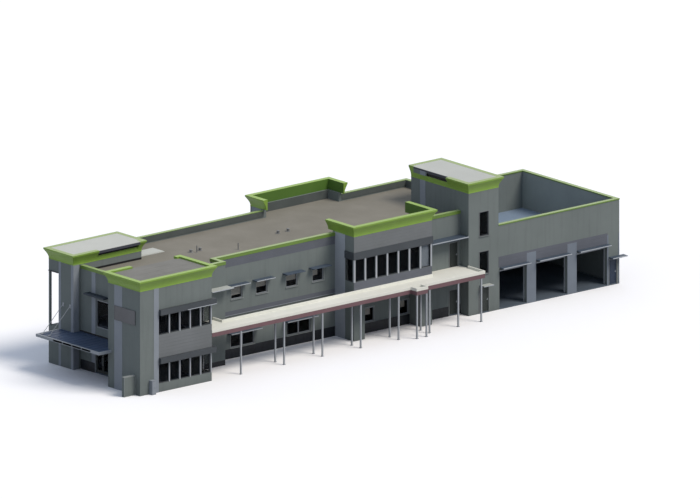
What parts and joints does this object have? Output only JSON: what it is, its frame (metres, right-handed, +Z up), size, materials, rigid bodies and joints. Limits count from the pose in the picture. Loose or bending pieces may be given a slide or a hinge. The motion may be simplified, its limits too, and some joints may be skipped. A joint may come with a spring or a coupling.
{
  "type": "administration building, 1:2 scale model",
  "caption": "Flat-roofed administration building with an entrance wing, a stair tower, a long walkway canopy, flared green crowns and a screened vehicle garage.",
  "frame": {"origin": "middle of the ground under the whole building", "axes": "+X along the front from the entrance wing to the garage, +Y from the front to the back, +Z up"},
  "size_m": [28.225, 8.315, 5.79],
  "materials": {
    "wall_render": "painted smooth render, matte",
    "pier_render": "painted smooth render, matte, lighter",
    "crown_paint": "satin green paint",
    "floor_slab": "trowelled concrete",
    "roof_membrane": "matte roofing membrane",
    "roof_sheet": "light ribbed sheet",
    "trim_metal": "satin coated aluminium",
    "dark_metal": "dark satin coating",
    "awning_metal": "blue-grey satin coating",
    "canopy_metal": "off-white coated sheet",
    "tinted_glass": "dark tinted glazing"
  },
  "bodies": {
    "building": {"ground_floor": "floor_slab", "first_floor": "floor_slab", "main_roof": "roof_membrane", "wing_roof": "roof_membrane", "tower_roofs": "roof_sheet", "garage_deck": "roof_sheet", "wing_front_wall": "wall_render", "wing_side_walls": "wall_render", "wing_crown": "crown_paint", "wing_posts": "trim_metal", "glazing_headers": "dark_metal", "entrance_wall_beside_door": "wall_render", "entrance_wall_over_door": "wall_render", "entrance_awning": "awning_metal", "awning_hangers": "dark_metal", "corner_tower_side_walls": "wall_render", "corner_tower_end_walls": "wall_render", "corner_tower_loggia": "wall_render", "corner_tower_crown": "crown_paint", "left_link_wall": "wall_render", "main_front_wall_ground": "wall_render", "main_front_wall_upper": "wall_render", "window_sunshades": "trim_metal", "bay_ground_wall": "wall_render", "bay_upper_wall": "wall_render", "bay_posts": "trim_metal", "bay_crowns": "crown_paint", "right_link_wall_beside_doors": "wall_render", "right_link_wall_over_doors": "wall_render", "link_upper_door": "dark_metal", "main_back_wall": "wall_render", "main_end_wall": "wall_render", "rear_bay_wall": "wall_render", "stair_tower_front_sides": "wall_render", "stair_tower_front_middle": "wall_render", "stair_tower_walls": "wall_render", "stair_tower_crown": "crown_paint", "door_hinges": "dark_metal", "garage_piers": "pier_render", "garage_screen_wall": "wall_render", "garage_walls": "wall_render", "parapet_coping": "crown_paint", "screen_coping": "crown_paint", "wall_awnings": "trim_metal", "walkway_canopy": "canopy_metal", "canopy_kerbs": "canopy_metal", "canopy_columns": "trim_metal", "ground_window_glass": "tinted_glass", "upper_window_glass": "tinted_glass", "roof_vents": "dark_metal", "service_cabinets": "trim_metal"},
    "entrance_leaf_near": {"entrance_door_near": "dark_metal", "entrance_pane_near": "tinted_glass"},
    "entrance_leaf_far": {"entrance_door_far": "dark_metal", "entrance_pane_far": "tinted_glass"},
    "link_leaf": {"link_door": "dark_metal"},
    "stair_leaf": {"stair_tower_door": "dark_metal"},
    "garage_leaf": {"garage_side_door": "dark_metal"}
  },
  "joints": [
    {"name": "entrance_hinge_near", "type": "hinge", "parent": "building", "child": "entrance_leaf_near", "pos_m": [-12.3378, -0.5025, 0.6], "axis": [0, 0, 1], "range_deg": [0, 90]},
    {"name": "entrance_hinge_far", "type": "hinge", "parent": "building", "child": "entrance_leaf_far", "pos_m": [-12.3378, 0.3375, 0.6], "axis": [0, 0, 1], "range_deg": [-90, 0]},
    {"name": "link_hinge", "type": "hinge", "parent": "building", "child": "link_leaf", "pos_m": [4.9925, -2.1328, 0.575], "axis": [0, 0, 1], "range_deg": [-90, 0]},
    {"name": "stair_hinge", "type": "hinge", "parent": "building", "child": "stair_leaf", "pos_m": [6.1925, -2.6678, 0.575], "axis": [0, 0, 1], "range_deg": [-90, 0]},
    {"name": "garage_hinge", "type": "hinge", "parent": "building", "child": "garage_leaf", "pos_m": [13.3425, -2.6678, 0.575], "axis": [0, 0, 1], "range_deg": [-90, 0]}
  ]
}
